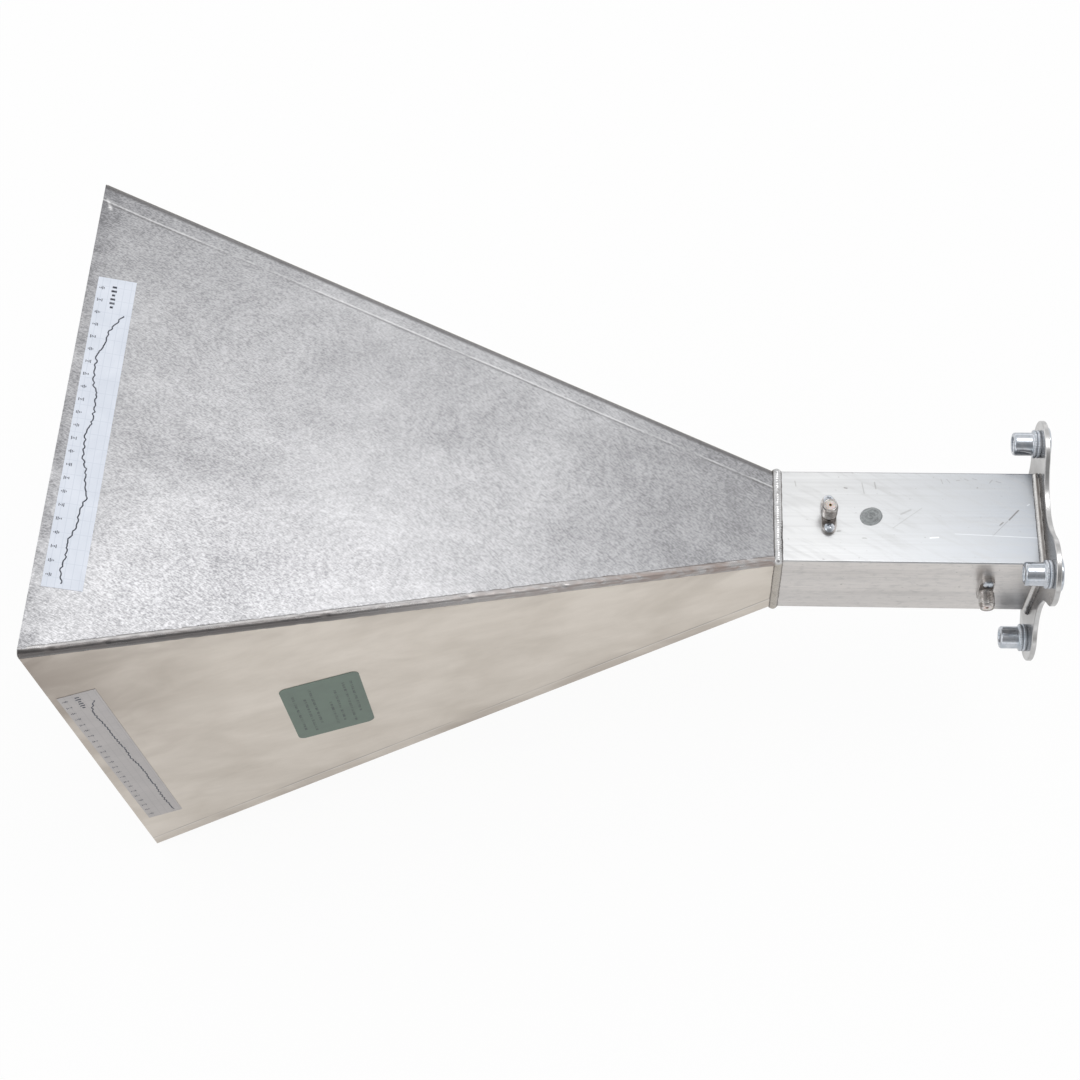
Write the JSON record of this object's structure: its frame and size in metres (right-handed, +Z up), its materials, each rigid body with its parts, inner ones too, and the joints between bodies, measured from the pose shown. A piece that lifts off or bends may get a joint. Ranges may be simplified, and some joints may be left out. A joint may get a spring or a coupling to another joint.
{
  "type": "pyramidal horn antenna",
  "caption": "Pyramidal horn antenna on a closed square feed tube, with crossed coaxial ports on adjoining faces and a lobed rear plate with threaded inserts for mounting.",
  "frame": {"origin": "centre of the bolt circle on the axis of the feed tube, in the plane of the rear heads of the inserts, which a bracket bears on", "axes": "-X along the boresight and out of the mouth, +X out of the rear, +Z up through the top port, -Y through the side port"},
  "size_m": [0.3655, 0.2004, 0.2004],
  "materials": {
    "sheet_aluminium": "orbitally sanded sheet, dull satin with swirl marks",
    "tube_aluminium": "drawn tube, fine lines along its length, light scratches",
    "weld_aluminium": "ground and rippled weld bead, stained brown in places",
    "plate_aluminium": "cut sheet, satin, bright broken edges",
    "zinc_steel": "bright bluish zinc plating",
    "connector_metal": "passivated steel, slightly tarnished",
    "white_insulator": "white, waxy",
    "contact_brass": "bare brass",
    "grey_sealant": "mid grey, smeared, satin",
    "chart_paper": "pale printed paper under clear film",
    "chart_film": "greyish printed film",
    "green_label": "grey-green film, satin"
  },
  "bodies": {
    "root": {"chart_strip_side": "chart_film", "chart_strip_top": "chart_paper", "corner_seam_bottom_far": "weld_aluminium", "corner_seam_top_near": "weld_aluminium", "end_plate": "plate_aluminium", "horn_sheet_lower": "sheet_aluminium", "horn_sheet_upper": "sheet_aluminium", "neck_weld_bottom": "weld_aluminium", "neck_weld_far": "weld_aluminium", "neck_weld_near": "weld_aluminium", "neck_weld_top": "weld_aluminium", "plate_weld_bottom": "weld_aluminium", "plate_weld_near": "weld_aluminium", "plate_weld_top": "weld_aluminium", "post_sealant_bottom": "grey_sealant", "post_sealant_top": "grey_sealant", "rating_label": "green_label", "rivet_nut_1": "zinc_steel", "rivet_nut_2": "zinc_steel", "rivet_nut_3": "zinc_steel", "rivet_nut_4": "zinc_steel", "shorting_post": "contact_brass", "side_contact_probe": "contact_brass", "side_flange_screw_1": "zinc_steel", "side_flange_screw_2": "zinc_steel", "side_jack_body": "connector_metal", "side_jack_insulator": "white_insulator", "top_contact_probe": "contact_brass", "top_flange_screw_1": "zinc_steel", "top_flange_screw_2": "zinc_steel", "top_jack_body": "connector_metal", "top_jack_insulator": "white_insulator", "waveguide_tube": "tube_aluminium"}
  },
  "joints": []
}
